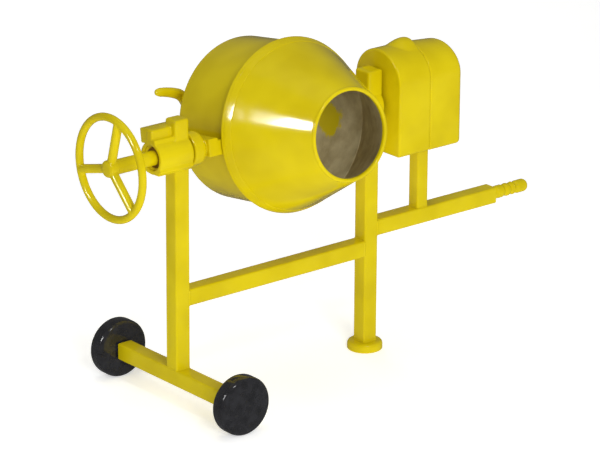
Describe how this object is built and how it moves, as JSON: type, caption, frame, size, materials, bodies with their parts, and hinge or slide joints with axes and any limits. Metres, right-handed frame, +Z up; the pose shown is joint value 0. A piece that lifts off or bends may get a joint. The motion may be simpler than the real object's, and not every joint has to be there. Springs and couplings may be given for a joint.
{
  "type": "concrete mixer",
  "caption": "Electric concrete mixer: tipping drum in a yoke on a square-tube stand, side handwheel, arched motor casing on the drawbar, axle with two wheels and a foot.",
  "frame": {"origin": "middle of the underside of the round foot under the motor-side post, on the ground", "axes": "+Z up; +X along the frame from the wheels and handwheel to the drawbar grip; the drum mouth looks towards -Y"},
  "size_m": [1.9233, 0.7806, 1.2424],
  "materials": {
    "yellow_paint": "glossy enamel paint",
    "yellow_cover": "glossy moulded plastic in the colour of the paint",
    "black_wheel": "glossy black moulded plastic",
    "white_plastic": "nylon bush",
    "steel": "machined bright steel",
    "cast_iron": "raw cast iron",
    "bronze": "sintered bronze",
    "black_plastic": "moulded black plastic",
    "belt_rubber": "ribbed rubber belt",
    "green_plastic": "green push button",
    "red_plastic": "red push button",
    "motor_grey": "satin grey paint"
  },
  "bodies": {
    "frame": {"axle_beam": "yellow_paint", "axle_rod": "steel", "axle_plug_near": "black_plastic", "axle_plug_far": "black_plastic", "left_post": "yellow_paint", "right_post": "yellow_paint", "lower_rail": "yellow_paint", "drawbar": "yellow_paint", "motor_post": "yellow_paint", "foot_pad": "yellow_paint", "tow_grip": "yellow_paint", "left_bearing": "yellow_paint", "right_bearing": "yellow_paint", "left_bush": "bronze", "right_bush": "bronze", "brake_pad": "black_plastic", "brake_spring": "steel", "back_plate": "steel", "motor": "motor_grey", "capacitor": "black_plastic", "drive_belt": "belt_rubber", "belt_cover": "yellow_cover", "motor_cover": "yellow_cover", "switch_box": "black_plastic", "power_inlet": "black_plastic"},
    "yoke": {"trunnion_shaft": "yellow_paint", "handwheel": "yellow_paint", "handwheel_cap": "yellow_paint", "yoke_arm_left": "yellow_paint", "yoke_arm_right": "yellow_paint", "yoke_cross_left": "yellow_paint", "yoke_cross_right": "yellow_paint", "yoke_grip": "yellow_paint", "right_trunnion": "steel", "shaft_bush_inner": "bronze", "shaft_bush_outer": "bronze", "spindle_housing": "yellow_paint", "spindle_bearing_front": "steel", "spindle_bearing_rear": "steel"},
    "drum": {"drum_pan": "yellow_paint", "drum_cone": "yellow_paint", "ring_gear": "yellow_paint", "mixing_blade_1": "yellow_paint", "mixing_blade_2": "yellow_paint", "mixing_blade_3": "yellow_paint", "hub_plate": "yellow_paint", "spindle": "steel", "spindle_nut": "steel"},
    "pinion_shaft": {"pinion": "cast_iron", "drive_shaft": "steel", "large_pulley": "cast_iron"},
    "motor_rotor": {"motor_shaft": "steel", "small_pulley": "cast_iron", "motor_fan": "black_plastic"},
    "near_wheel": {"wheel_near": "black_wheel", "hub_bush_near": "white_plastic"},
    "far_wheel": {"wheel_far": "black_wheel", "hub_bush_far": "white_plastic"},
    "start": {"start_button": "green_plastic"},
    "stop": {"stop_button": "red_plastic"}
  },
  "joints": [
    {"name": "drum_tilt", "type": "hinge", "parent": "frame", "child": "yoke", "pos_m": [-0.39, 0, 0.92], "axis": [1, 0, 0], "range_deg": [-52, 63]},
    {"name": "drum_spin", "type": "hinge", "parent": "yoke", "child": "drum", "pos_m": [-0.39, 0.00139, 0.9299], "axis": [0, -0.9903, 0.1392], "continuous": true},
    {"name": "pinion_spin", "type": "hinge", "parent": "yoke", "child": "pinion_shaft", "pos_m": [-0.09, 0, 0.92], "axis": [1, 0, 0], "continuous": true},
    {"name": "motor_spin", "type": "hinge", "parent": "frame", "child": "motor_rotor", "pos_m": [0.25, 0, 1.036], "axis": [1, 0, 0], "continuous": true},
    {"name": "near_wheel_spin", "type": "hinge", "parent": "frame", "child": "near_wheel", "pos_m": [-0.85, -0.348, 0.105], "axis": [0, 1, 0], "continuous": true},
    {"name": "far_wheel_spin", "type": "hinge", "parent": "frame", "child": "far_wheel", "pos_m": [-0.85, 0.348, 0.105], "axis": [0, 1, 0], "continuous": true},
    {"name": "start_press", "type": "slide", "parent": "frame", "child": "start", "axis": [-1, 0, 0], "range_m": [0, 0.003], "stiffness_N_per_m": 400, "springref_m": -0.002},
    {"name": "stop_press", "type": "slide", "parent": "frame", "child": "stop", "axis": [-1, 0, 0], "range_m": [0, 0.003], "stiffness_N_per_m": 400, "springref_m": -0.002}
  ],
  "couplings": [
    {"joint": "pinion_spin", "follows": "drum_spin", "ratio": -5},
    {"joint": "motor_spin", "follows": "drum_spin", "ratio": -30}
  ]
}
